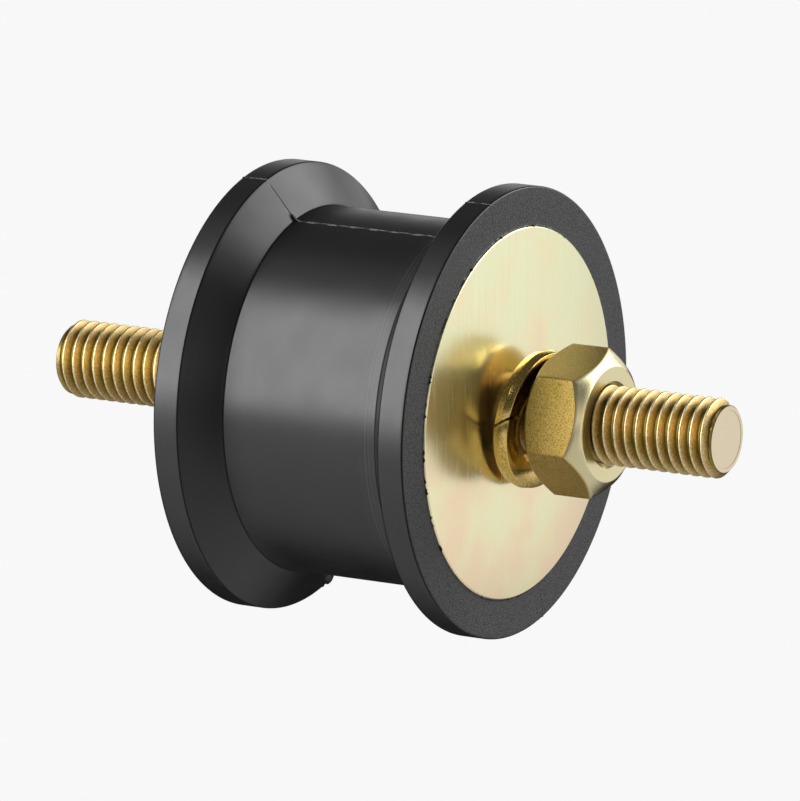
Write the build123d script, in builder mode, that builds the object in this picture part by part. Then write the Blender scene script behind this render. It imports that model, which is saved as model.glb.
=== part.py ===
from build123d import *
from math import cos, pi, radians, sin, tan
import os

os.makedirs("parts", exist_ok=True)

# A bobbin vibration mount, in millimetres.
# The axis lies along X with the nut side at +X, Z is up, and the origin is the middle of the rubber.
# Angles about the axis are counted from +Y towards +Z.

# Rubber body
flange_diameter = 56.2
barrel_diameter = 45.8
body_length = 35.3
rim_width = 3.45
cone_length = 3.4
rim_outer_edge = 0.15
rim_inner_edge = 0.3
waist_fillet = 0.35
parting_angle = 104.0
parting_rib_height = 0.12
parting_rib_width = 0.25

# End plates, bonded into the ends of the rubber and standing a little proud of it
plate_diameter = 46.3
plate_thickness = 2.5
plate_proud = 0.3
plate_outer_edge = 0.2

# Studs, pressed through the plates, with a flat head inside the rubber
stud_diameter = 9.85
stud_length = 29.0
stud_chamfer = 0.85
neck_diameter = 11.0
head_diameter = 18.0
head_thickness = 3.0
head_chamfer = 0.6

# Hexagon nut
nut_across_flats = 16.3
nut_height = 8.2
nut_face_diameter = 14.4
nut_chamfer_angle = 36.0
nut_mouth_diameter = 10.8
nut_corner_angle = 15.7
thread_clearance = 0.05

# Split spring washer: it hangs loose on the stud and leans, free of the plate and of the nut
washer_inner_diameter = 11.0
washer_width = 3.2
washer_thickness = 2.0
washer_edge_crown = 0.22
washer_lean = 6.6
washer_lean_angle = 60.0
washer_plate_gap = 0.65
washer_nut_gap = 0.18
washer_stud_gap = 0.03
washer_split_angle = 172.5
washer_split_slant = 36.0
washer_split_gap = 0.3

# Radii and stations that follow from the sizes above
half_length = body_length / 2
plate_face = half_length + plate_proud
plate_back = plate_face - plate_thickness
head_back = plate_back - head_thickness
stud_radius = stud_diameter / 2
stud_tip = plate_face + stud_length
lean_cos = cos(radians(washer_lean))
lean_sin = sin(radians(washer_lean))
washer_inner_radius = washer_inner_diameter / 2
washer_outer_radius = washer_inner_radius + washer_width
washer_edge_radius = washer_outer_radius - washer_edge_crown
washer_reach = washer_thickness / 2 * lean_cos + washer_edge_radius * lean_sin
washer_middle = plate_face + washer_plate_gap + washer_reach
washer_drop = washer_inner_radius * lean_cos - washer_thickness / 2 * lean_sin - stud_radius - washer_stud_gap
nut_face_radius = nut_face_diameter / 2
washer_rise_at_nut = (nut_face_radius + washer_drop * sin(radians(washer_lean_angle))) * lean_sin
washer_front_at_nut = washer_middle + (washer_thickness / 2 + washer_rise_at_nut) / lean_cos
nut_back = washer_front_at_nut + washer_nut_gap
nut_front = nut_back + nut_height


def bobbin_profile(radial_growth):
    """Half section of the bobbin on the local XY plane, above the axis, its radii grown by the given amount."""
    rim_radius = flange_diameter / 2 + radial_growth
    waist_radius = barrel_diameter / 2 + radial_growth
    rim_end = half_length - rim_width
    waist_end = rim_end - cone_length
    with BuildSketch() as profile:
        with BuildLine():
            Polyline(
                (-half_length, 0),
                (-half_length, rim_radius),
                (-rim_end, rim_radius),
                (-waist_end, waist_radius),
                (waist_end, waist_radius),
                (rim_end, rim_radius),
                (half_length, rim_radius),
                (half_length, 0),
                close=True,
            )
        make_face()
        rim_corners = profile.vertices().group_by(Axis.Y)[-1].sort_by(Axis.X)
        waist_corners = profile.vertices().group_by(Axis.Y)[-2]
        fillet([rim_corners[0], rim_corners[-1]], radius=rim_outer_edge)
        fillet(rim_corners[1:-1], radius=rim_inner_edge)
        fillet(waist_corners, radius=waist_fillet)
    return profile.sketch


# Rubber body: the revolved bobbin, the thin rib that the mould's parting line leaves on both sides,
# and the pockets that the end plates and the stud heads are moulded into
parting_plane = Plane(
    origin=(0, 0, 0),
    x_dir=(1, 0, 0),
    z_dir=(0, sin(radians(parting_angle)), -cos(radians(parting_angle))),
)
with BuildPart() as rubber_body:
    with BuildSketch(Plane.XZ):
        add(bobbin_profile(0))
    revolve(axis=Axis.X)
    with BuildSketch(parting_plane):
        rib_section = bobbin_profile(parting_rib_height)
        add(rib_section)
        add(mirror(rib_section, about=Plane.XZ, mode=Mode.PRIVATE))
    extrude(amount=parting_rib_width / 2, both=True)
    for side in (-1, 1):
        with BuildSketch(Plane.XZ):
            with BuildLine():
                Polyline(
                    (side * half_length, 0),
                    (side * half_length, plate_diameter / 2),
                    (side * plate_back, plate_diameter / 2),
                    (side * plate_back, head_diameter / 2),
                    (side * (head_back + head_chamfer), head_diameter / 2),
                    (side * head_back, head_diameter / 2 - head_chamfer),
                    (side * head_back, 0),
                    close=True,
                )
            make_face()
        revolve(axis=Axis.X, mode=Mode.SUBTRACT)
rubber_body.part.label = "rubber_body"
export_step(rubber_body.part, "parts/rubber_body.step")

# End plates: flat discs with a hole for the stud's neck, their outer edges rounded by the stamping
for side, name in ((1, "nut_side_plate"), (-1, "plain_side_plate")):
    with BuildPart() as plate:
        with BuildSketch(Plane.YZ.offset(side * plate_face)):
            Circle(plate_diameter / 2)
            Circle(neck_diameter / 2, mode=Mode.SUBTRACT)
        extrude(amount=-side * plate_thickness)
        face_edges = plate.edges().filter_by(GeomType.CIRCLE).group_by(Axis.X)[0 if side < 0 else -1]
        fillet(face_edges.sort_by(SortBy.RADIUS)[-1], radius=plate_outer_edge)
    plate.part.label = name
    export_step(plate.part, f"parts/{name}.step")


def stud_profile(side):
    """Half section of a stud on the local XY plane, above the axis, pointing to the given side."""
    with BuildSketch() as profile:
        with BuildLine():
            Polyline(
                (side * head_back, 0),
                (side * head_back, head_diameter / 2 - head_chamfer),
                (side * (head_back + head_chamfer), head_diameter / 2),
                (side * plate_back, head_diameter / 2),
                (side * plate_back, neck_diameter / 2),
                (side * plate_face, neck_diameter / 2),
                (side * plate_face, stud_radius),
                (side * (stud_tip - stud_chamfer), stud_radius),
                (side * stud_tip, stud_radius - stud_chamfer),
                (side * stud_tip, 0),
                close=True,
            )
        make_face()
    return profile.sketch


# Studs: a flat head behind the plate, a neck in the plate's hole, and the thread's major diameter outside
for side, name in ((1, "nut_side_stud"), (-1, "plain_side_stud")):
    with BuildPart() as stud:
        with BuildSketch(Plane.XZ):
            add(stud_profile(side))
        revolve(axis=Axis.X)
    stud.part.label = name
    export_step(stud.part, f"parts/{name}.step")

# Spring washer: a flat split ring whose outer edge comes to a ridge, turned about its own leaning axis.
# Its split is a thin slot that slants across the edge.
lean_turn = radians(washer_lean_angle)
washer_centre = Vector(washer_middle, 0, -washer_drop)
washer_axis = Vector(lean_cos, -lean_sin * cos(lean_turn), -lean_sin * sin(lean_turn))
lean_radial = Vector(lean_sin, lean_cos * cos(lean_turn), lean_cos * sin(lean_turn))
lean_side = Vector(0, -sin(lean_turn), cos(lean_turn))
split_turn = radians(washer_split_angle - washer_lean_angle)
split_radial = lean_radial * cos(split_turn) + lean_side * sin(split_turn)
split_along = lean_side * cos(split_turn) - lean_radial * sin(split_turn)
slant = radians(washer_split_slant)
with BuildPart() as spring_washer:
    with BuildSketch(Plane(origin=washer_centre, x_dir=washer_axis, z_dir=washer_axis.cross(lean_radial))):
        with BuildLine():
            Polyline(
                (-washer_thickness / 2, washer_inner_radius),
                (-washer_thickness / 2, washer_edge_radius),
                (0, washer_outer_radius),
                (washer_thickness / 2, washer_edge_radius),
                (washer_thickness / 2, washer_inner_radius),
                close=True,
            )
        make_face()
    revolve(axis=Axis(washer_centre, washer_axis))
    split_plane = Plane(
        origin=washer_centre + split_radial * (washer_inner_radius + washer_width / 2),
        x_dir=split_radial,
        z_dir=split_along * cos(slant) + washer_axis * sin(slant),
    )
    with BuildSketch(split_plane):
        Rectangle(2 * washer_width, 3 * washer_thickness)
    extrude(amount=washer_split_gap / 2, both=True, mode=Mode.SUBTRACT)
spring_washer.part.label = "spring_washer"
export_step(spring_washer.part, "parts/spring_washer.step")

# Hexagon nut: a hexagonal prism, its corners turned down to a cone at both ends, bored and countersunk
corner_radius = nut_across_flats / 2 / cos(pi / 6)
corner_drop = (corner_radius - nut_face_radius) * tan(radians(nut_chamfer_angle))
nut_bore_radius = stud_radius + thread_clearance
mouth_depth = nut_mouth_diameter / 2 - nut_bore_radius
with BuildPart() as hex_nut:
    with BuildSketch(Plane.YZ.offset(nut_back)):
        RegularPolygon(corner_radius, 6, rotation=nut_corner_angle)
    extrude(amount=nut_height)
    with BuildSketch(Plane.XZ):
        with BuildLine():
            Polyline(
                (nut_back, nut_bore_radius + mouth_depth),
                (nut_back, nut_face_radius),
                (nut_back + corner_drop, corner_radius),
                (nut_front - corner_drop, corner_radius),
                (nut_front, nut_face_radius),
                (nut_front, nut_bore_radius + mouth_depth),
                (nut_front - mouth_depth, nut_bore_radius),
                (nut_back + mouth_depth, nut_bore_radius),
                close=True,
            )
        make_face()
    revolve(axis=Axis.X, mode=Mode.INTERSECT)
hex_nut.part.label = "hex_nut"
export_step(hex_nut.part, "parts/hex_nut.step")
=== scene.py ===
"""Studio scene of a bobbin vibration mount: its pieces' true forms, their finishes, and the studio.

Sizes are in millimetres and meshes in metres, in the frame of the solids. The axis lies along X with the
nut side at +X, Z is up, and angles about the axis are counted from +Y towards +Z.
"""

import logging
from dataclasses import dataclass
from enum import Enum
from math import cos, pi, radians, sin, tan
from typing import Any, Sequence

import bmesh
import bpy
import numpy as np
from mathutils import Matrix, Vector


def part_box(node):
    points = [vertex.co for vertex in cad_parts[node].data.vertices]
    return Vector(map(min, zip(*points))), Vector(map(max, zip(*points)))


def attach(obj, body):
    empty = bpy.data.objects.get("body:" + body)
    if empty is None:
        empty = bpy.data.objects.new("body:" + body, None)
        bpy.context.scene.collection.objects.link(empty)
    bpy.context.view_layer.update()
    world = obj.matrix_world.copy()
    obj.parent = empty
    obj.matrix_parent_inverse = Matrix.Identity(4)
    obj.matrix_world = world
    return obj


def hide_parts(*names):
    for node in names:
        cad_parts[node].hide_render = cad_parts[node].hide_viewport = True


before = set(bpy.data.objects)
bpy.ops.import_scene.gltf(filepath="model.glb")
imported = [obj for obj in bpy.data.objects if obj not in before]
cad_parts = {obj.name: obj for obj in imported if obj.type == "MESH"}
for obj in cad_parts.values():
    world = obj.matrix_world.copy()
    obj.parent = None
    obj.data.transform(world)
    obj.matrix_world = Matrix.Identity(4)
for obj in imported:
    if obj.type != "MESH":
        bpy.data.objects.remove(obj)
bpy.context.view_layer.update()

MM = 0.001
log = logging.getLogger("bobbin_mount")

Point = tuple[float, float]
Range = tuple[float, float]
Triple = tuple[float, float, float]
Stops = Sequence[tuple[float, str]]

# Most of a noise texture's values lie in this range, about this middle
NOISE_RANGE: Range = (0.3, 0.7)
NOISE_MIDDLE = 0.5


class Side(Enum):
    """The two ends of the mount, valued by the sign of X that they point to."""

    NUT = 1
    PLAIN = -1


def linear(code: str) -> tuple[float, float, float, float]:
    """Turns an sRGB colour into the linear values that shaders take.

    Args:
        code: The colour as "#rrggbb".

    Returns:
        Red, green, blue and an alpha of 1.
    """
    shares = [int(code[i : i + 2], 16) / 255 for i in (1, 3, 5)]
    red, green, blue = [s / 12.92 if s <= 0.04045 else ((s + 0.055) / 1.055) ** 2.4 for s in shares]
    return red, green, blue, 1.0


def between(limits: Range) -> dict[str, float]:
    """Gives the inputs of a Map Range node for the values that become 0 and 1."""
    return {"From Min": limits[0], "From Max": limits[1]}


def add_node(
    tree: bpy.types.NodeTree, kind: str, inputs: dict[Any, Any] | None = None, **settings: Any
) -> Any:
    """Adds a shader node with its settings and links.

    Args:
        tree: The node tree that gets the node.
        kind: The node's type name, after "ShaderNode".
        inputs: For each input, by name or number, the value to set or the output socket to link.
        **settings: Properties of the node itself. A colour ramp takes its stops as "stops".

    Returns:
        The new node.
    """
    node = tree.nodes.new(f"ShaderNode{kind}")
    for position, (place, code) in enumerate(settings.pop("stops", ())):
        elements = node.color_ramp.elements
        element = elements[position] if position < len(elements) else elements.new(place)
        element.position, element.color = place, linear(code)
    for name, value in settings.items():
        setattr(node, name, value)
    for key, value in (inputs or {}).items():
        if isinstance(value, bpy.types.NodeSocket):
            tree.links.new(value, node.inputs[key])
        else:
            node.inputs[key].default_value = value
    return node


def rounded(corners: Sequence[Point], radii: Sequence[float], steps: int = 5) -> list[Point]:
    """Replaces the corners of a closed outline by arcs.

    Args:
        corners: The corners in order.
        radii: The arc's radius at each corner, 0 where it stays sharp.
        steps: Straight pieces in each arc.

    Returns:
        The outline's points in order.
    """
    outline: list[Point] = []
    for i, (corner, radius) in enumerate(zip(corners, radii)):
        if radius == 0:
            outline.append(corner)
            continue
        here = np.array(corner)
        back = np.array(corners[i - 1]) - here
        ahead = np.array(corners[(i + 1) % len(corners)]) - here
        back, ahead = back / np.linalg.norm(back), ahead / np.linalg.norm(ahead)
        half = np.arccos(np.clip(back @ ahead, -1, 1)) / 2
        centre = here + (back + ahead) / np.linalg.norm(back + ahead) * radius / np.sin(half)
        start = here + back * radius / np.tan(half) - centre
        end = here + ahead * radius / np.tan(half) - centre
        turn = np.arctan2(start[0] * end[1] - start[1] * end[0], start @ end)
        for step in range(steps + 1):
            a = turn * step / steps
            across, along = start[0] * cos(a) - start[1] * sin(a), start[0] * sin(a) + start[1] * cos(a)
            outline.append((float(centre[0] + across), float(centre[1] + along)))
    return outline


def filled(outline: Sequence[Point], spacing: float) -> list[Point]:
    """Adds points along the straight stretches of an outline.

    Args:
        outline: The outline's points in order.
        spacing: The longest stretch that is left without a point.

    Returns:
        The points in order.
    """
    dense: list[Point] = []
    for (x0, r0), (x1, r1) in zip(outline, outline[1:]):
        count = max(1, int(np.ceil(np.hypot(x1 - x0, r1 - r0) / spacing)))
        dense += [(x0 + (x1 - x0) * i / count, r0 + (r1 - r0) * i / count) for i in range(count)]
    return dense + [outline[-1]]


def even_angles(count: int) -> np.ndarray:
    """Gives angles evenly round the axis, in radians."""
    return np.arange(count) * 2 * pi / count


def corner_of(node: str, side: int) -> Vector:
    """Gives the highest corner of a node's box for side 1 or the lowest for side -1, in millimetres."""
    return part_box(node)[side > 0] / MM


def middle_of(node: str) -> Vector:
    """Gives the middle of a node's box, in millimetres."""
    return (corner_of(node, 1) + corner_of(node, -1)) / 2


@dataclass
class Patch:
    """A sheet of quads laid round the axis, as rows of stations and radii over columns of angles.

    The angles are one row for all, or a row for each row of stations.
    """

    stations: np.ndarray
    radii: np.ndarray
    angles: np.ndarray
    seam_shift: int = 0
    closed: bool = True

    @classmethod
    def turned(cls, outline: Sequence[Point], angles: np.ndarray) -> "Patch":
        """Makes the sheet that an outline sweeps when it is turned about the axis.

        Args:
            outline: Points as (station, radius).
            angles: The columns' angles.

        Returns:
            The sheet.
        """
        points = np.array(outline)
        ones = np.ones(len(angles))
        return cls(np.outer(points[:, 0], ones), np.outer(points[:, 1], ones), angles)

    def vertices(self) -> np.ndarray:
        """Gives the corners in metres, row by row."""
        y, z = self.radii * np.cos(self.angles), self.radii * np.sin(self.angles)
        return np.stack([self.stations, y, z], axis=2).reshape(-1, 3) * MM

    def quads(self, first: int) -> list[tuple[int, int, int, int]]:
        """Gives the faces.

        Args:
            first: The number of the sheet's first corner.

        Returns:
            Four corner numbers for each face. Past the last column, a row goes on in the row that is further
            on by the seam's shift, or ends there in an open sheet.
        """
        rows, columns = self.stations.shape
        faces = []
        for row in range(rows - 1):
            for column in range(columns if self.closed else columns - 1):
                onward = (column + 1) % columns
                turn = self.seam_shift if onward == 0 else 0
                if row + 1 + turn < rows:
                    near, far = row * columns + column, (row + 1) * columns + column
                    beyond, beside = (row + 1 + turn) * columns + onward, (row + turn) * columns + onward
                    faces.append((first + near, first + far, first + beyond, first + beside))
        return faces


def make_piece(name: str, patches: Sequence[Patch], crease: float) -> bpy.types.Object:
    """Joins sheets that meet edge to edge into one closed mesh, smooth up to the crease.

    Args:
        name: The piece's name.
        patches: The sheets.
        crease: Edges that turn by more than this many degrees stay sharp.

    Returns:
        The new object, in the scene.
    """
    corners: list[np.ndarray] = []
    faces: list[tuple[int, ...]] = []
    count = 0
    for patch in patches:
        corners.append(patch.vertices())
        faces += patch.quads(count)
        count += len(corners[-1])
    mesh = bpy.data.meshes.new(name)
    mesh.from_pydata(np.concatenate(corners).tolist(), [], faces)
    shape = bmesh.new()
    shape.from_mesh(mesh)
    bmesh.ops.remove_doubles(shape, verts=shape.verts, dist=0.001 * MM)
    bmesh.ops.recalc_face_normals(shape, faces=shape.faces)
    shape.to_mesh(mesh)
    shape.free()
    mesh.polygons.foreach_set("use_smooth", [True] * len(mesh.polygons))
    mesh.set_sharp_from_angle(angle=radians(crease))
    piece = bpy.data.objects.new(name, mesh)
    bpy.context.scene.collection.objects.link(piece)
    return piece


def settle(piece: bpy.types.Object, node: str, material: bpy.types.Material) -> bpy.types.Object:
    """Puts a finished piece in a node's place.

    Args:
        piece: The piece, already where the node is.
        node: The node that it stands for.
        material: Its surface.

    Returns:
        The piece.
    """
    piece.data.materials.append(material)
    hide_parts(node)
    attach(piece, "root")
    log.info("%s: %d faces, for node %s", piece.name, len(piece.data.polygons), node)
    return piece


def start_material(name: str) -> tuple[bpy.types.Material, bpy.types.NodeTree, Any, Any]:
    """Makes an empty surface.

    Args:
        name: The material's name.

    Returns:
        The material, its node tree, its surface shader, and a coordinate output that counts millimetres.
    """
    material = bpy.data.materials.new(name)
    material.use_nodes = True
    tree = material.node_tree
    tree.nodes.clear()
    shader = add_node(tree, "BsdfPrincipled")
    add_node(tree, "OutputMaterial", {"Surface": shader.outputs["BSDF"]})
    place = add_node(tree, "TexCoord")
    scaled_by = {0: place.outputs["Object"], 1: (1 / MM,) * 3}
    scaled = add_node(tree, "VectorMath", scaled_by, operation="MULTIPLY").outputs[0]
    return material, tree, shader, scaled


def axis_facing(tree: bpy.types.NodeTree, shares: Range) -> Any:
    """Adds a mask for the faces that are square to the axis.

    Args:
        tree: The surface's node tree.
        shares: The normal's share along the axis where the mask begins, and the share from which it is 1.

    Returns:
        The mask's output, from 0 to 1.
    """
    normal = add_node(tree, "NewGeometry").outputs["Normal"]
    along = add_node(tree, "SeparateXYZ", {0: normal}).outputs["X"]
    facing = add_node(tree, "Math", {0: along}, operation="ABSOLUTE").outputs[0]
    return add_node(tree, "MapRange", {"Value": facing, **between(shares)}).outputs[0]


@dataclass(frozen=True)
class MouldedNaturalRubber:
    """Black natural rubber from a turned steel mould, its end faces dull where they were trimmed.

    A relief is a bump's strength and depth, and a mask gives the values where it begins and where it is full.
    """

    body: str = "#151516"
    # Paler tone painted on the turning-mark rings at the nut side's waist, a painted highlight along the
    # fillet
    fillet_highlight: str = "#3c3c3d"
    grain: Stops = ((0.42, "#0c0c0d"), (0.62, "#5e5e5f"))
    # flash: grey, partly the flash's own thin look and partly a painted highlight where it catches the light;
    # crease: near black, painted shade in the groove on the cones
    flash: str = "#8c8c8c"
    crease: str = "#050505"
    body_gloss: Range = (0.28, 0.36)
    end_roughness: float = 0.62
    body_shine: float = 0.5
    edge_shine: float = 0.08
    refractive_index: float = 1.52
    turning_mark: float = 0.22
    skin_grain: float = 0.16
    end_grain: float = 0.17
    patch_size: float = 5.0
    dash_length: float = 1.1
    flash_width: float = 0.09
    flash_core: float = 0.3
    # Stations where the painted highlight on the nut side's waist fillet rises, is full, falls and ends
    fillet_highlight_zone: tuple[float, ...] = (8.2, 10.2, 11.0, 11.6)
    mark_relief: Range = (0.05, 0.02)
    skin_relief: Range = (0.45, 0.012)
    end_relief: Range = (0.6, 0.12)
    end_mask: Range = (0.95, 0.99)
    cone_mask: Range = (0.6, 0.8)
    edge_mask: Range = (0.06, 0.25)
    dash_mask: Range = (0.42, 0.56)
    mark_mask: Range = (0.5, 0.68)

    def material(self, parting_angle: float) -> bpy.types.Material:
        """Makes the surface.

        The mould's fine turning marks lie under a satin skin, which spreads a highlight but keeps its edge.
        Near the nut side's waist the rings are painted paler, a painted highlight along the fillet. The end
        faces show coarse grey grain. The flash on the parting line is painted grey and broken, partly as its
        own thin look and partly as a painted highlight where it catches the light. On the cones the line is a
        groove painted near black, painted shade in the crease. The rounded edges are worn dull, which draws
        them as dark lines.

        Args:
            parting_angle: Angle of the plane where the mould's halves met, in degrees.

        Returns:
            The material.
        """
        material, tree, shader, place = start_material("moulded_natural_rubber")
        station = add_node(tree, "SeparateXYZ", {0: place}).outputs["X"]
        masks = (self.end_mask, self.cone_mask, self.edge_mask)
        end_face, on_cone, turned_in = (axis_facing(tree, mask) for mask in masks)
        marks, dash = (
            add_node(tree, "TexNoise", {"W": station, **look}, noise_dimensions="1D").outputs[0]
            for look in (
                {"Scale": 1 / self.turning_mark, "Detail": 2.0},
                {"Scale": 1 / self.dash_length, "Detail": 3.0},
            )
        )
        skin, grain, patches = (
            add_node(tree, "TexNoise", {"Vector": place, **look}).outputs[0]
            for look in (
                {"Scale": 1 / self.skin_grain, "Detail": 3.0},
                {"Scale": 1 / self.end_grain, "Detail": 5.0, "Roughness": 0.65},
                {"Scale": 1 / self.patch_size, "Detail": 4.0},
            )
        )

        across = (0.0, -sin(radians(parting_angle)), cos(radians(parting_angle)))
        offset = add_node(tree, "VectorMath", {0: place, 1: across}, operation="DOT_PRODUCT").outputs[1]
        distance = add_node(tree, "Math", {0: offset}, operation="ABSOLUTE").outputs[0]
        begin, full, fall, end = self.fillet_highlight_zone
        line, broken, ring, rise, drop = (
            add_node(tree, "MapRange", {"Value": value, **between(limits)}).outputs[0]
            for value, limits in (
                (distance, (self.flash_width, self.flash_core * self.flash_width)),
                (dash, self.dash_mask),
                (marks, self.mark_mask),
                (station, (begin, full)),
                (station, (end, fall)),
            )
        )
        # Parting line masks: broken flash dashes, partly a painted highlight, and the crease on the cones,
        # painted shade
        dashes, crease_shade_mask, near = (
            add_node(tree, "Math", {0: one, 1: other}, operation="MULTIPLY").outputs[0]
            for one, other in ((line, broken), (line, on_cone), (rise, drop))
        )
        seam = add_node(tree, "Math", {0: dashes, 1: crease_shade_mask}, operation="MAXIMUM").outputs[0]
        # Painted highlight: turning-mark rings painted paler along the nut side's waist fillet
        painted_fillet_highlight = add_node(tree, "Math", {0: near, 1: ring}, operation="MULTIPLY").outputs[0]
        edge = add_node(tree, "Math", {0: turned_in, 1: on_cone}, operation="SUBTRACT").outputs[0]

        grain_tone = add_node(tree, "ValToRGB", {0: grain}, stops=self.grain).outputs[0]
        # Grey flash, partly a painted highlight, and on the cones a near-black crease, painted shade in the
        # groove
        seam_by = {0: on_cone, 6: linear(self.flash), 7: linear(self.crease)}
        seam_highlight_and_shade = add_node(tree, "Mix", seam_by, data_type="RGBA").outputs[2]
        colour: Any = linear(self.body)
        layers = ((painted_fillet_highlight, linear(self.fillet_highlight)), (end_face, grain_tone), (seam, seam_highlight_and_shade))
        for share, tone in layers:
            blend = {0: share, 6: colour, 7: tone}
            colour = add_node(tree, "Mix", blend, data_type="RGBA").outputs[2]
        shine_by = {"Value": edge, "To Min": self.body_shine, "To Max": self.edge_shine}
        shine = add_node(tree, "MapRange", shine_by).outputs[0]
        low, high = self.body_gloss
        gloss_by = {"Value": patches, **between(NOISE_RANGE), "To Min": low, "To Max": high}
        gloss = add_node(tree, "MapRange", gloss_by).outputs[0]
        rough = add_node(tree, "Mix", {0: end_face, 2: gloss, 3: self.end_roughness}).outputs[0]

        pits = add_node(tree, "Math", {0: end_face, 1: grain}, operation="MULTIPLY").outputs[0]
        normal: dict[str, Any] = {}
        reliefs = ((marks, self.mark_relief), (skin, self.skin_relief), (pits, self.end_relief))
        for height, (strength, depth) in reliefs:
            bump = {"Strength": strength, "Distance": depth * MM, "Height": height, **normal}
            normal = {"Normal": add_node(tree, "Bump", bump).outputs[0]}
        shader.inputs["IOR"].default_value = self.refractive_index
        results = {"Base Color": colour, "Roughness": rough, "Specular IOR Level": shine, **normal}
        for name, source in results.items():
            tree.links.new(source, shader.inputs[name])
        return material


class PlatedForm(Enum):
    """How the steel under the zinc was made, which decides its marks."""

    ROLLED_SHEET = "rolled_sheet"
    ROLLED_THREAD = "rolled_thread"
    FORGED_NUT = "forged_nut"
    COILED_WIRE = "coiled_wire"


@dataclass(frozen=True)
class YellowPassivatedZinc:
    """Steel, zinc plated and yellow passivated: a thin gold film whose hue drifts with its thickness."""

    form: PlatedForm
    film: Stops
    film_size: float
    speck: Stops
    speck_size: float
    roughness: Range
    bump: float
    bump_depth: float = 0.05
    stretch: Triple = (1.0, 1.0, 1.0)
    drift: Triple = (0.0, 0.0, 0.0)
    worn: str = ""
    worn_from: Range = (0.93, 0.98)
    worn_roughness: float = 0.26
    # Painted shade in a thread's roots and painted highlight on its crests, set by radius
    root_shade_crest_highlight: Stops = ()
    depth_range: Range = (4.0, 4.9)

    def material(self) -> bpy.types.Material:
        """Makes the surface.

        Two patterns multiply: the slow drift of the film's hue, and the fine specks or draw marks of the
        steel under it, which break the reflections up into gold, olive and brown. Turned faces are burnished
        paler. A thread's roots are painted darkest as painted shade, and its crests palest as a painted
        highlight.

        Returns:
            The material.
        """
        material, tree, shader, place = start_material(f"yellow_passivated_zinc_on_{self.form.value}")
        film_at = {"Vector": place, "Scale": 1 / self.film_size, "Detail": 2.0, "Distortion": 0.3}
        cloud = add_node(tree, "TexNoise", film_at).outputs[0]
        run = add_node(tree, "VectorMath", {0: place, 1: self.drift}, operation="DOT_PRODUCT").outputs[1]
        film = add_node(tree, "Math", {0: cloud, 1: run}, operation="ADD").outputs[0]
        colour = add_node(tree, "ValToRGB", {0: film}, stops=self.film).outputs[0]
        drawn = add_node(tree, "VectorMath", {0: place, 1: self.stretch}, operation="MULTIPLY").outputs[0]
        speck_at = {"Vector": drawn, "Scale": 1 / self.speck_size, "Detail": 4.0, "Roughness": 0.6}
        speck = add_node(tree, "TexNoise", speck_at).outputs[0]
        tones = [add_node(tree, "ValToRGB", {0: speck}, stops=self.speck).outputs[0]]
        # Painted shade and highlight by radius: darker in the thread's roots, paler on its crests
        if self.root_shade_crest_highlight:
            across_by = {0: place, 1: (0.0, 1.0, 1.0)}
            across = add_node(tree, "VectorMath", across_by, operation="MULTIPLY").outputs[0]
            radius = add_node(tree, "VectorMath", {0: across}, operation="LENGTH").outputs[1]
            rise_by = {"Value": radius, **between(self.depth_range)}
            rise = add_node(tree, "MapRange", rise_by).outputs[0]
            tones.append(add_node(tree, "ValToRGB", {0: rise}, stops=self.root_shade_crest_highlight).outputs[0])
        for tone in tones:
            blend = {0: 1.0, 6: colour, 7: tone}
            colour = add_node(tree, "Mix", blend, data_type="RGBA", blend_type="MULTIPLY").outputs[2]
        low, high = self.roughness
        gloss_by = {"Value": speck, **between(NOISE_RANGE), "To Min": low, "To Max": high}
        gloss = add_node(tree, "MapRange", gloss_by).outputs[0]
        relief = speck
        if self.worn:
            bare = axis_facing(tree, self.worn_from)
            rubbed = {0: bare, 6: colour, 7: linear(self.worn)}
            colour = add_node(tree, "Mix", rubbed, data_type="RGBA").outputs[2]
            relief = add_node(tree, "Mix", {0: bare, 2: speck, 3: NOISE_MIDDLE}).outputs[0]
            gloss = add_node(tree, "Mix", {0: bare, 2: gloss, 3: self.worn_roughness}).outputs[0]
        grain = {"Strength": self.bump, "Distance": self.bump_depth * MM, "Height": relief}
        bumped = add_node(tree, "Bump", grain).outputs[0]
        shader.inputs["Metallic"].default_value = 1.0
        for name, source in {"Base Color": colour, "Roughness": gloss, "Normal": bumped}.items():
            tree.links.new(source, shader.inputs[name])
        return material


# Cold-rolled sheet: pale cream film with wide soft pink and green patches over faint upright marks
PLATE_FINISH = YellowPassivatedZinc(
    form=PlatedForm.ROLLED_SHEET,
    film=((0.34, "#f1f1c8"), (0.52, "#f6ecc2"), (0.7, "#f8e2be")),
    film_size=9.0,
    speck=((0.3, "#fbf9f3"), (0.6, "#ffffff")),
    speck_size=0.3,
    roughness=(0.21, 0.28),
    bump=0.02,
    stretch=(1.0, 1.0, 0.03),
    drift=(0.0, 0.0, -0.008),
)

# Rolled thread: olive gold flanks, crests painted pale as a painted highlight, roots painted brown as painted
# shade
THREAD_FINISH = YellowPassivatedZinc(
    form=PlatedForm.ROLLED_THREAD,
    film=((0.3, "#e8dca2"), (0.5, "#f0deb2"), (0.7, "#e4d998")),
    film_size=3.0,
    speck=((0.25, "#c4b49c"), (0.6, "#ffffff")),
    speck_size=0.3,
    roughness=(0.4, 0.5),
    bump=0.3,
    worn="#e2d2b4",
    # Painted shade in the roots, painted highlight on the crests
    root_shade_crest_highlight=((0.0, "#6a5e40"), (0.3, "#bcb68a"), (0.55, "#d6c4aa"), (0.82, "#ecdfd0"), (0.97, "#ffffff")),
)

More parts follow.
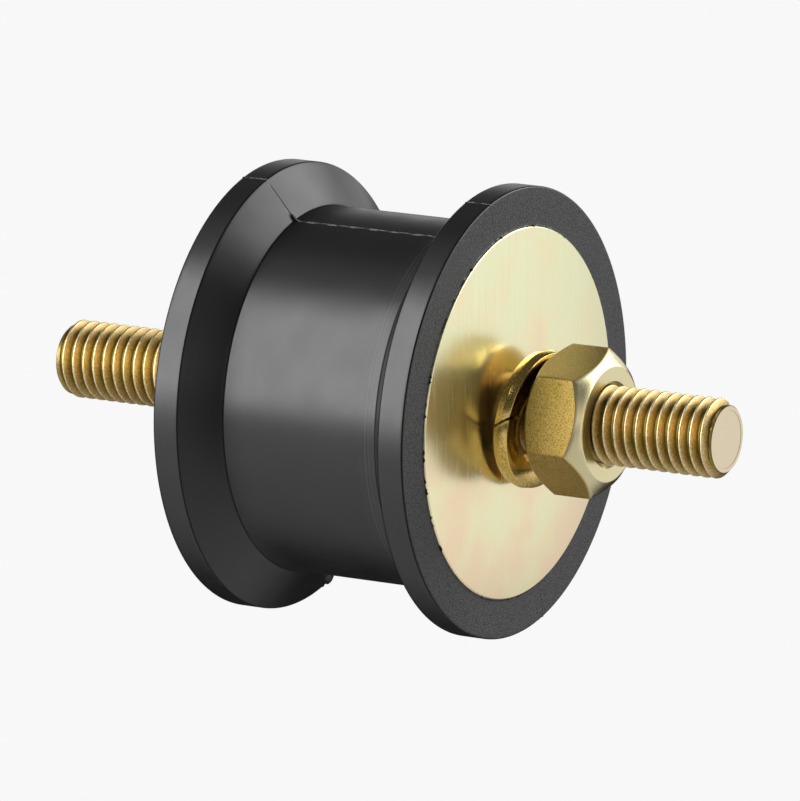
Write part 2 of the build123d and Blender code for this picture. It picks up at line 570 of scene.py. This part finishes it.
# Cold-forged nut: flats with a fine scaly grain, turned chamfers and faces burnished pale
NUT_FINISH = YellowPassivatedZinc(
    form=PlatedForm.FORGED_NUT,
    film=((0.3, "#b8a45a"), (0.5, "#c0a660"), (0.7, "#b4a050")),
    film_size=4.0,
    speck=((0.36, "#96825a"), (0.6, "#ffffff")),
    speck_size=0.12,
    roughness=(0.42, 0.54),
    bump=0.3,
    worn="#e2d7aa",
    worn_from=(0.5, 0.75),
)

# Coiled spring wire: orange gold with marks along the turn
WASHER_FINISH = YellowPassivatedZinc(
    form=PlatedForm.COILED_WIRE,
    film=((0.3, "#dec26a"), (0.5, "#e4ca80"), (0.7, "#d8be66")),
    film_size=4.0,
    speck=((0.3, "#c3ab80"), (0.62, "#ffffff")),
    speck_size=0.25,
    roughness=(0.12, 0.2),
    bump=0.15,
)


@dataclass
class CoarseThread:
    """Right-hand metric coarse thread, for studs and nut. The phase of its crests is measured in the photo.

    Its flanks are drawn at two shares of their depth, and its crest and root are eased.
    """

    crest_phase: float
    major_radius: float = 4.925
    pitch: float = 1.5
    crest_flat: float = 0.19
    crest_core: float = 0.6
    crest_ease: Point = (0.015, 0.025)
    depth: float = 0.9
    flank_angle: float = 30.0
    flank_shares: Range = (0.1, 0.92)
    root_ease: float = 0.1
    root_lift: float = 0.02

    def profile(self) -> list[Point]:
        """Draws one pitch from root to root.

        Returns:
            Points as (station from the crest, depth).
        """
        crest = self.crest_flat / 2
        flank_depth = self.depth - self.root_ease
        foot = crest + flank_depth * tan(radians(self.flank_angle))
        aside, down = self.crest_ease
        half = [(crest * self.crest_core, 0.0), (crest + aside, down)]
        half += [(crest + share * (foot - crest), share * flank_depth) for share in self.flank_shares]
        half += [(foot, flank_depth), ((foot + self.pitch / 2) / 2, self.depth - self.root_lift)]
        return [(-x, d) for x, d in reversed(half)] + half

    def wall(self, start: float, end: float, angles: np.ndarray) -> tuple[np.ndarray, np.ndarray, int]:
        """Lays out the thread's surface, its rows following the helix.

        Args:
            start: The lowest station.
            end: The highest station.
            angles: The columns' angles.

        Returns:
            Stations held between start and end, the thread's radii there, and the rows in one pitch.
        """
        profile = self.profile()
        turns = range(int(start / self.pitch) - 2, int(end / self.pitch) + 2)
        offsets = np.array([(turn + self.crest_phase) * self.pitch + x for turn in turns for x, _ in profile])
        depths = np.array([depth for _ in turns for _, depth in profile])
        stations = offsets[:, None] + self.pitch * angles[None, :] / (2 * pi)
        radii = np.repeat((self.major_radius - depths)[:, None], len(angles), axis=1)
        return np.clip(stations, start, end), radii, len(profile)


@dataclass
class StudHead:
    """The flat head behind a plate: the stud carries it, and the rubber has a pocket of its shape."""

    plate_thickness: float = 2.5
    radius: float = 9.0
    thickness: float = 3.0
    chamfer: float = 0.6

    def outline(self, sign: int, plate_face: float, start_radius: float) -> list[Point]:
        """Draws the half section from the plate's back to the axis.

        Args:
            sign: The side, as the sign of X.
            plate_face: The plate's outer face.
            start_radius: Where the section starts on the plate's back.

        Returns:
            Points as (station, radius).
        """
        front = plate_face - self.plate_thickness
        back = front - self.thickness
        corners = [
            (front, start_radius),
            (front, self.radius),
            (back + self.chamfer, self.radius),
            (back, self.radius - self.chamfer),
            (back, 0.0),
        ]
        return [(sign * x, r) for x, r in corners]


@dataclass
class ThreadedStud:
    """A stud with its flat head inside the rubber, its neck in the plate, and its thread outside."""

    side: Side
    thread: CoarseThread
    plate_face: float
    tip: float
    head: StudHead
    neck_radius: float = 5.5
    tip_chamfer: float = 0.85
    tip_land: float = 0.26
    land_fade: float = 0.1
    tip_recess: float = 0.03
    tip_rings: tuple[float, ...] = (1.0, 0.97, 0.88)
    recess_rings: tuple[float, ...] = (0.875, 0.0)
    run_out: float = 1.5
    columns: int = 120

    def build(self) -> bpy.types.Object:
        """Makes the stud's mesh.

        Returns:
            The stud, on its own side.
        """
        angles = even_angles(self.columns)
        sign = self.side.value
        start, end = sorted((sign * self.plate_face, sign * self.tip))
        stations, radii, rows = self.thread.wall(start, end, angles)
        from_root = sign * stations - self.plate_face
        to_tip = self.tip - sign * stations
        chamfer = self.thread.major_radius - self.tip_chamfer + to_tip
        run_out = self.thread.major_radius - self.thread.depth * from_root / self.run_out
        radii = np.minimum(np.maximum(radii, run_out), chamfer)
        land = np.clip((self.tip_land + self.land_fade - to_tip) / self.land_fade, 0, 1)
        radii = radii + land * (np.minimum(chamfer, self.thread.major_radius) - radii)
        rim = radii[-1] if sign > 0 else radii[0]
        hidden = [
            (sign * self.plate_face, self.thread.major_radius),
            (sign * self.plate_face, self.neck_radius),
            *self.head.outline(sign, self.plate_face, self.neck_radius),
        ]
        shares = [*self.tip_rings, *self.recess_rings]
        recess = np.array([0.0] * len(self.tip_rings) + [self.tip_recess] * len(self.recess_rings))
        ends = np.repeat(sign * (self.tip - recess)[:, None], len(angles), axis=1)
        face = Patch(ends, np.outer(shares, rim), angles)
        return make_piece(
            f"{self.side.name.lower()}_side_stud_thread",
            [Patch(stations, radii, angles, rows), face, Patch.turned(hidden, angles)],
            crease=38,
        )


@dataclass
class HexNut:
    """A hexagon nut, chamfered on both ends and countersunk, with its thread inside."""

    thread: CoarseThread
    back: float
    front: float
    across_flats: float = 16.3
    face_radius: float = 7.2
    chamfer_angle: float = 36.0
    mouth_radius: float = 5.4
    corner_angle: float = 15.7
    corner_round: float = 0.35
    edge_ease: float = 0.1
    mouth_land: float = 0.12
    chamfer_rings: Range = (0.35, 0.7)
    thread_clearance: float = 0.04
    flat_steps: int = 14
    corner_steps: int = 4

    def outline(self) -> tuple[np.ndarray, np.ndarray]:
        """Gives the hexagon with rounded corners.

        Returns:
            The angles and radii of its points, in order.
        """
        corner = self.across_flats / 2 / cos(pi / 6)
        ring = [corner * np.exp(1j * (radians(self.corner_angle) + side * pi / 3)) for side in range(6)]
        arcs = rounded([(p.real, p.imag) for p in ring], [self.corner_round] * 6, self.corner_steps)
        dense = filled(arcs + arcs[:1], self.across_flats / 2 / self.flat_steps)
        points = np.array([complex(*p) for p in dense[:-1]])
        order = np.argsort(np.angle(points) % (2 * pi))
        return (np.angle(points) % (2 * pi))[order], np.abs(points)[order]

    def build(self) -> bpy.types.Object:
        """Makes the nut's mesh.

        Returns:
            The nut, on its stud.
        """
        angles, radii = self.outline()
        slope = tan(radians(self.chamfer_angle))
        drop = (radii - self.face_radius) * slope
        ease = self.edge_ease
        face, mouth = self.face_radius, self.mouth_radius
        ones = np.ones(len(angles))
        rows = []
        for end, inward in ((self.back, 1), (self.front, -1)):
            rows_here = [
                (end, mouth),
                (end, mouth + self.mouth_land),
                (end, face - 2 * ease),
                (end, face - ease),
                (end + inward * ease * slope, face + ease),
            ]
            for share in self.chamfer_rings:
                spot = face + ease + (radii - face - 2 * ease) * share
                rows_here.append((end + inward * (spot - face) * slope, spot))
            rows_here.append((end + inward * (drop - ease * slope), radii - ease))
            rows_here.append((end + inward * (drop + ease), radii))
            rows_here.append((end + inward * (drop + 3 * ease), radii))
            rows += rows_here if inward > 0 else rows_here[::-1]
        outside = Patch(*(np.array([row[i] * ones for row in rows]) for i in (0, 1)), angles)
        stations, bore, pitch_rows = self.thread.wall(self.back, self.front, angles)
        to_end = np.minimum(stations - self.back, self.front - stations)
        bore = np.maximum(bore + self.thread_clearance, mouth - to_end)
        return make_piece("hex_nut_body", [outside, Patch(stations, bore, angles, pitch_rows)], crease=30)


@dataclass
class SpringWasher:
    """A split spring washer that leans: a flat ring with a ridged outer edge, cut by a slanting split."""

    middle: Vector
    inner_radius: float = 5.5
    width: float = 3.2
    thickness: float = 2.0
    edge_crown: float = 0.22
    edge_round: float = 0.16
    inner_round: float = 0.1
    cap_ring: float = 0.85
    lean: float = 6.6
    lean_angle: float = 60.0
    split_angle: float = 172.5
    split_slant: float = 36.0
    split_gap: float = 0.3
    steps: int = 240

    def section(self) -> np.ndarray:
        """Draws the wire's closed section, its outer edge crowned.

        Returns:
            Rows of (place along the ring's axis, radius).
        """
        half, outer = self.thickness / 2, self.inner_radius + self.width
        corners = [
            (-half, self.inner_radius),
            (-half, outer - self.edge_crown),
            (0.0, outer),
            (half, outer - self.edge_crown),
            (half, self.inner_radius),
        ]
        radii = [self.inner_round, self.edge_round, 0.0, self.edge_round, self.inner_round]
        outline = rounded(corners, radii, steps=3)
        return np.array(outline + outline[:1])

    def end_angles(self, along: np.ndarray, radii: np.ndarray, side: int) -> np.ndarray:
        """Gives where the ring ends at its split.

        Args:
            along: Places along the ring's axis.
            radii: Radii there.
            side: 1 for the end after the split, -1 for the end before it.

        Returns:
            The angles round the ring's axis, counted from the leaning direction.
        """
        slant = radians(self.split_slant)
        beside = (side * self.split_gap / 2 - along * sin(slant)) / cos(slant)
        turn = radians(self.split_angle - self.lean_angle)
        return turn + np.arcsin(beside / radii) + (0 if side > 0 else 2 * pi)

    def build(self) -> bpy.types.Object:
        """Makes the washer's mesh.

        Returns:
            The washer, hanging on its stud.
        """
        along, radii = self.section().T
        first, last = self.end_angles(along, radii, 1), self.end_angles(along, radii, -1)
        shares = np.linspace(0, 1, self.steps)
        angles = first[:, None] + (last - first)[:, None] * shares
        ones = np.ones(self.steps)
        patches = [Patch(np.outer(along, ones), np.outer(radii, ones), angles, closed=False)]
        for side in (1, -1):
            pull = np.array([[1.0], [self.cap_ring], [0.0]])
            core = self.inner_radius + self.width / 2
            cap_along, cap_radii = pull * along, core + pull * (radii - core)
            cap_angles = self.end_angles(cap_along, cap_radii, side)
            patches.append(Patch(cap_along, cap_radii, cap_angles, closed=False))
        ring = make_piece("spring_washer_ring", patches, crease=16)
        lean, turn = radians(self.lean), radians(self.lean_angle)
        axis = Vector((cos(lean), -sin(lean) * cos(turn), -sin(lean) * sin(turn)))
        uphill = Vector((sin(lean), cos(lean) * cos(turn), cos(lean) * sin(turn)))
        pose = Matrix((axis, uphill, axis.cross(uphill))).transposed().to_4x4()
        ring.data.transform(Matrix.Translation(self.middle * MM) @ pose)
        return ring


@dataclass
class EndPlate:
    """A flat steel disc with a hole for the stud's neck."""

    side: Side
    face: float
    radius: float
    thickness: float = 2.5
    hole_radius: float = 5.5
    edge_round: float = 0.2
    columns: int = 256

    def build(self) -> bpy.types.Object:
        """Makes the plate's mesh.

        Returns:
            The plate, a little proud of the rubber's end face.
        """
        sign = self.side.value
        outer, inner = sign * self.face, sign * (self.face - self.thickness)
        hole, rim = self.hole_radius, self.radius
        corners = [(inner, hole), (outer, hole), (outer, rim), (inner, rim)]
        outline = rounded(corners, [0.0, 0.0, self.edge_round, 0.0])
        name = f"{self.side.name.lower()}_side_plate_disc"
        return make_piece(name, [Patch.turned(outline + outline[:1], even_angles(self.columns))], crease=50)


@dataclass
class Bobbin:
    """The moulded rubber body, with flash on its parting line and a ragged lip round each plate.

    The flash's height is a level plus waves, each a share, a rate per millimetre and a phase. A nub is an
    angle from the parting line, a distance from the middle to the plain side, a height and a width.
    """

    half_length: float
    rim_radius: float
    plate_face: float
    plate_radius: float
    head: StudHead
    barrel_radius: float = 22.9
    rim_width: float = 3.45
    cone_length: float = 3.4
    rim_outer_edge: float = 0.25
    rim_inner_edge: float = 0.3
    waist_fillet: float = 0.35
    parting_angle: float = 104.0
    flash_height: float = 0.14
    flash_width: float = 0.16
    flash_level: float = 0.65
    flash_waves: tuple[Triple, ...] = ((0.2, 2.1, 0.4), (0.15, 5.3, 1.7))
    flash_fade: Range = (1.0, 2.0)
    crease_depth: float = 0.08
    crease_margin: float = 0.2
    nubs: tuple[tuple[float, ...], ...] = ((0.0, 10.93, 0.35, 0.4), (180.0, 12.9, 1.15, 0.9))
    lip_width: float = 0.35
    lip_rise: float = 0.34
    lip_reach: float = 0.24
    lip_level: float = 0.15
    lip_power: int = 4
    lip_wall: float = 0.02
    row_spacing: float = 0.45
    seam_columns: tuple[float, ...] = (0.15, 0.3, 0.45, 0.7, 1.1)
    columns: int = 480
    seed: int = 11

    def angles(self) -> np.ndarray:
        """Places the columns, closer together beside the parting line.

        Returns:
            Their angles in radians, in order.
        """
        near = np.radians(self.seam_columns)
        cleared = near[-1] * 1.2
        lines = [radians(self.parting_angle + turn) for turn in (0, 180)]
        extra = [line + offset for line in lines for offset in (*-near, 0.0, *near)]
        spread = [a for a in even_angles(self.columns) if min(abs(a - line) for line in lines) > cleared]
        return np.sort(np.array([*spread, *extra]))

    def skin(self) -> list[Point]:
        """Draws the outer half section from the plain side's lip to the nut side's.

        Returns:
            Points as (station, radius).
        """
        rim_end = self.half_length - self.rim_width
        waist_end = rim_end - self.cone_length
        half = [
            (waist_end, self.barrel_radius),
            (rim_end, self.rim_radius),
            (self.half_length, self.rim_radius),
            (self.half_length, self.plate_radius + self.lip_width),
        ]
        corners = [(-x, r) for x, r in reversed(half)] + half
        eased = [self.waist_fillet, self.rim_inner_edge, self.rim_outer_edge, 0.0]
        return filled(rounded(corners, [*reversed(eased), *eased]), self.row_spacing)

    def flash(self, outline: np.ndarray, angles: np.ndarray) -> np.ndarray:
        """Gives how far the flash stands out.

        Args:
            outline: The skin's points.
            angles: The columns' angles.

        Returns:
            Heights in millimetres, by point and angle.
        """
        along = outline[:, 0]
        ragged = self.flash_level
        for share, rate, phase in self.flash_waves:
            ragged = ragged + share * np.sin(rate * along + phase)
        clear, fade = self.flash_fade
        rim = np.clip((outline[:, 1] - self.plate_radius - clear) / fade, 0, 1)
        rim_end = self.half_length - self.rim_width
        waist_end = rim_end - self.cone_length
        height = self.flash_height * ragged * np.where(np.abs(along) < rim_end, 1.0, rim)
        margin = self.crease_margin
        on_cone = (np.abs(along) > waist_end + margin) & (np.abs(along) < rim_end - margin)
        height = np.where(on_cone, -self.crease_depth, height)
        offsets = np.stack([angles - radians(self.parting_angle + turn) for turn in (0, 180)])
        distance = np.abs((offsets + pi) % (2 * pi) - pi).min(axis=0)[None, :] * outline[:, 1][:, None]
        seam = height[:, None] * np.clip(1 - (distance / self.flash_width) ** 2, 0, None)
        for place, station, high, wide in self.nubs:
            turn = (angles - radians(self.parting_angle + place) + pi) % (2 * pi) - pi
            aside = np.hypot((along + station)[:, None], turn[None, :] * self.barrel_radius)
            seam = seam + high * np.clip(1 - (aside / wide) ** 2, 0, None)
        return seam

    def build(self) -> bpy.types.Object:
        """Makes the rubber's mesh.

        Returns:
            The rubber body.
        """
        angles = self.angles()
        outline = np.array(self.skin())
        skin = Patch.turned(outline, angles)
        skin.radii = skin.radii + self.flash(outline, angles)
        dice = np.random.default_rng(self.seed)
        patches = [skin]
        ones = np.ones(len(angles))
        for side in Side:
            sign = side.value
            spill = dice.random(len(angles)) ** self.lip_power
            rise = self.lip_rise * (self.lip_level + (1 - self.lip_level) * spill)
            edge = self.plate_radius - self.lip_reach * spill
            end = sign * self.half_length
            # From the end face up to the lip's top, then down its inner edge to the plate's
            lip = [
                (end, self.plate_radius + self.lip_width),
                (end + 0.2 * sign * rise, self.plate_radius + 0.4 * self.lip_width),
                (end + sign * rise, self.plate_radius + self.lip_wall),
                (end + sign * rise, edge),
                (end + sign * 0.5 * rise, edge - self.lip_wall),
                (end, self.plate_radius),
            ]
            stations, radii = (np.array([row[i] * ones for row in lip]) for i in (0, 1))
            patches.append(Patch(stations, radii, angles))
            pocket = self.head.outline(sign, self.plate_face, self.plate_radius)
            patches.append(Patch.turned([(end, self.plate_radius), *pocket], angles))
        return make_piece("rubber_bobbin", patches, crease=32)


@dataclass
class SoftBox:
    """A lamp behind a cloth, seen from the mount as an even bright rectangle."""

    name: str
    direction: Triple
    distance: float
    width: float
    height: float
    radiance: float

    def place(self) -> None:
        """Puts the lamp in the scene, facing the mount."""
        lamp = bpy.data.lights.new(self.name, "AREA")
        lamp.shape = "RECTANGLE"
        lamp.size, lamp.size_y = self.width, self.height
        lamp.energy = self.radiance * pi * self.width * self.height
        holder = bpy.data.objects.new(self.name, lamp)
        bpy.context.scene.collection.objects.link(holder)
        direction = Vector(self.direction).normalized()
        holder.location = direction * self.distance
        holder.rotation_mode = "QUATERNION"
        holder.rotation_quaternion = direction.to_track_quat("Z", "Y")


@dataclass
class Studio:
    """Pale paper floor, dark ceiling, soft boxes, and the camera at the photo's viewing angle."""

    azimuth: float = 30.2354
    elevation: float = 12.4506
    distance: float = 1.0720
    aim: Triple = (0.0007636, 0.0003535, -0.0003584)
    focal_length: float = 388.32
    clip: Range = (0.05, 50.0)
    floor_depth: float = 0.25
    floor_reach: float = 12.0
    shadow_zone: Range = (0.3, 0.68)
    mirror_zone: Range = (0.48, 0.78)
    sweep_across: Triple = (-0.55, 0.83, 0.0)
    sweep_edge: Range = (0.8, 0.52)
    near_share: float = 0.82
    # Painted shade: the matt floor's tones for all but camera rays, dark towards the back left and light
    # elsewhere
    painted_shade_card: tuple[str, str] = ("#2a2a2a", "#e0e0e0")
    painted_shade_toward: Triple = (0.7, -0.7, 0.0)
    painted_shade_fade: Range = (-0.16, 0.0)
    paper: str = "#f8f8f8"
    ceiling: str = "#5a5a5a"
    horizon: Range = (0.05, 0.4)
    boxes: tuple[SoftBox, ...] = (
        SoftBox("front_left_box", (-0.494, -0.730, 0.473), 0.9, 0.6, 1.04, 5.7),
        SoftBox("front_top_box", (-0.494, -0.181, 0.850), 0.9, 0.6, 0.38, 0.4),
        SoftBox("back_right_box", (0.57, 0.68, 0.43), 0.9, 0.8, 0.55, 3.5),
    )

    def paper_share(self, tree: bpy.types.NodeTree) -> Any:
        """Adds a mask for how much of the floor is plain lit paper.

        Far off it is all plain to camera, mirror and see-through rays, as a paper sweep would be. Near the
        mount the camera sees some of the true floor with the mount's shadow. Mirror rays see the matt floor
        there, and on both sides of the sweep, which runs from the front left to the back right. For all but
        camera rays that floor's tone is painted darker towards the back left, as painted shade.

        Args:
            tree: The floor's node tree.

        Returns:
            The mask's output, from 0 to 1.
        """
        path = add_node(tree, "LightPath").outputs
        place = add_node(tree, "TexCoord").outputs["Object"]
        flat = add_node(tree, "VectorMath", {0: place, 1: (1.0, 1.0, 0.0)}, operation="MULTIPLY").outputs[0]
        distance = add_node(tree, "VectorMath", {0: flat}, operation="LENGTH").outputs[1]
        heading = add_node(tree, "VectorMath", {0: flat}, operation="NORMALIZE").outputs[0]
        across_by = {0: heading, 1: self.sweep_across}
        across = add_node(tree, "VectorMath", across_by, operation="DOT_PRODUCT").outputs[1]
        aside = add_node(tree, "Math", {0: across}, operation="ABSOLUTE").outputs[0]
        zones = ((distance, self.shadow_zone), (distance, self.mirror_zone), (aside, self.sweep_edge))
        away, clear, sweep = (
            add_node(
                tree, "MapRange", {"Value": value, **between(zone)}, interpolation_type="SMOOTHSTEP"
            ).outputs[0]
            for value, zone in zones
        )
        seen_by = {"Value": away, "To Min": self.near_share, "To Max": 1.0}
        seen = add_node(tree, "MapRange", seen_by).outputs[0]
        bent = {0: path["Is Glossy Ray"], 1: path["Is Transmission Ray"]}
        rays = add_node(tree, "Math", bent, operation="MAXIMUM").outputs[0]
        bare = add_node(tree, "Math", {0: clear, 1: sweep}, operation="MULTIPLY").outputs[0]
        shown, mirrored = (
            add_node(tree, "Math", {0: ray, 1: share}, operation="MULTIPLY").outputs[0]
            for ray, share in ((path["Is Camera Ray"], seen), (rays, bare))
        )
        return add_node(tree, "Math", {0: shown, 1: mirrored}, operation="ADD").outputs[0]

    def lay_floor(self) -> bpy.types.Object:
        """Lays the paper well below the held mount.

        Returns:
            The floor.
        """
        reach, depth = self.floor_reach, -self.floor_depth
        mesh = bpy.data.meshes.new("paper_floor")
        plan = ((-reach, -reach), (reach, -reach), (reach, reach), (-reach, reach))
        mesh.from_pydata([(x, y, depth) for x, y in plan], [], [(0, 1, 2, 3)])
        floor = bpy.data.objects.new("paper_floor", mesh)
        bpy.context.scene.collection.objects.link(floor)
        material = bpy.data.materials.new("studio_paper_with_painted_shade")
        material.use_nodes = True
        tree = material.node_tree
        tree.nodes.clear()
        seen = add_node(tree, "LightPath").outputs["Is Camera Ray"]
        place = add_node(tree, "TexCoord").outputs["Object"]
        # Painted shade on the floor: darker towards the back left for all but camera rays
        toward = {0: place, 1: self.painted_shade_toward}
        side = add_node(tree, "VectorMath", toward, operation="DOT_PRODUCT").outputs[1]
        fade_by = {"Value": side, **between(self.painted_shade_fade)}
        fade = add_node(tree, "MapRange", fade_by, interpolation_type="SMOOTHSTEP").outputs[0]
        dark, light = self.painted_shade_card
        painted_shade_by = {0: fade, 6: linear(dark), 7: linear(light)}
        painted_shade_card = add_node(tree, "Mix", painted_shade_by, data_type="RGBA").outputs[2]
        tone_by = {0: seen, 6: painted_shade_card, 7: linear(self.paper)}
        tone = add_node(tree, "Mix", tone_by, data_type="RGBA").outputs[2]
        matt = add_node(tree, "BsdfDiffuse", {"Color": tone}).outputs[0]
        lit = add_node(tree, "Emission", {"Color": linear(self.paper), "Strength": 1.0}).outputs[0]
        both_by = {0: self.paper_share(tree), 1: matt, 2: lit}
        both = add_node(tree, "MixShader", both_by).outputs[0]
        add_node(tree, "OutputMaterial", {"Surface": both})
        floor.data.materials.append(material)
        return floor

    def light_world(self) -> None:
        """Makes the room, paper white low down with a dim ceiling. The camera sees paper alone."""
        world = bpy.data.worlds.new("studio_room")
        world.use_nodes = True
        tree = world.node_tree
        tree.nodes.clear()
        direction = add_node(tree, "TexCoord").outputs["Generated"]
        up = add_node(tree, "SeparateXYZ", {0: direction}).outputs["Z"]
        rise = add_node(tree, "MapRange", {"Value": up, **between(self.horizon)}).outputs[0]
        room_by = {0: rise, 6: linear(self.paper), 7: linear(self.ceiling)}
        room = add_node(tree, "Mix", room_by, data_type="RGBA").outputs[2]
        seen = add_node(tree, "LightPath").outputs["Is Camera Ray"]
        colour_by = {0: seen, 6: room, 7: linear(self.paper)}
        colour = add_node(tree, "Mix", colour_by, data_type="RGBA").outputs[2]
        glow = add_node(tree, "Background", {"Color": colour, "Strength": 1.0})
        add_node(tree, "OutputWorld", {"Surface": glow.outputs[0]})
        bpy.context.scene.world = world

    def place_camera(self) -> None:
        """Sets the camera where the photo was taken from."""
        camera = bpy.data.cameras.new("photo_camera")
        camera.lens = self.focal_length
        camera.clip_start, camera.clip_end = self.clip
        holder = bpy.data.objects.new("photo_camera", camera)
        bpy.context.scene.collection.objects.link(holder)
        a, e = radians(self.azimuth), radians(self.elevation)
        back = Vector((sin(a) * cos(e), -cos(a) * cos(e), sin(e)))
        holder.location = Vector(self.aim) + back * self.distance
        holder.rotation_mode = "QUATERNION"
        holder.rotation_quaternion = back.to_track_quat("Z", "Y")
        bpy.context.scene.camera = holder

    def build(self) -> None:
        """Sets up the whole studio."""
        bpy.context.scene.view_settings.view_transform = "Standard"
        self.lay_floor()
        self.light_world()
        for box in self.boxes:
            box.place()
        self.place_camera()
        log.info("studio: %d soft boxes", len(self.boxes))


def main() -> None:
    """Builds the mount piece by piece in the frame of the solids, dresses it, and sets up the studio."""
    logging.basicConfig(level=logging.INFO, format="%(name)s: %(message)s")
    rubber_end, plate_end = corner_of("rubber_body", 1), corner_of("nut_side_plate", 1)
    head = StudHead()
    bobbin = Bobbin(rubber_end.x, rubber_end.y, plate_face=plate_end.x, plate_radius=plate_end.z, head=head)
    rubber = MouldedNaturalRubber().material(bobbin.parting_angle)
    settle(bobbin.build(), "rubber_body", rubber)

    threads = {Side.NUT: CoarseThread(crest_phase=0.12), Side.PLAIN: CoarseThread(crest_phase=0.24)}
    plate_steel, thread_steel = PLATE_FINISH.material(), THREAD_FINISH.material()
    for side in Side:
        node = f"{side.name.lower()}_side"
        settle(EndPlate(side, plate_end.x, plate_end.z).build(), f"{node}_plate", plate_steel)
        tip = abs(corner_of(f"{node}_stud", side.value).x)
        stud = ThreadedStud(side, threads[side], plate_end.x, tip, head)
        settle(stud.build(), f"{node}_stud", thread_steel)

    nut = HexNut(threads[Side.NUT], back=corner_of("hex_nut", -1).x, front=corner_of("hex_nut", 1).x)
    settle(nut.build(), "hex_nut", NUT_FINISH.material())
    washer = SpringWasher(middle_of("spring_washer"))
    settle(washer.build(), "spring_washer", WASHER_FINISH.material())

    Studio().build()


if __name__ == "__main__":
    main()
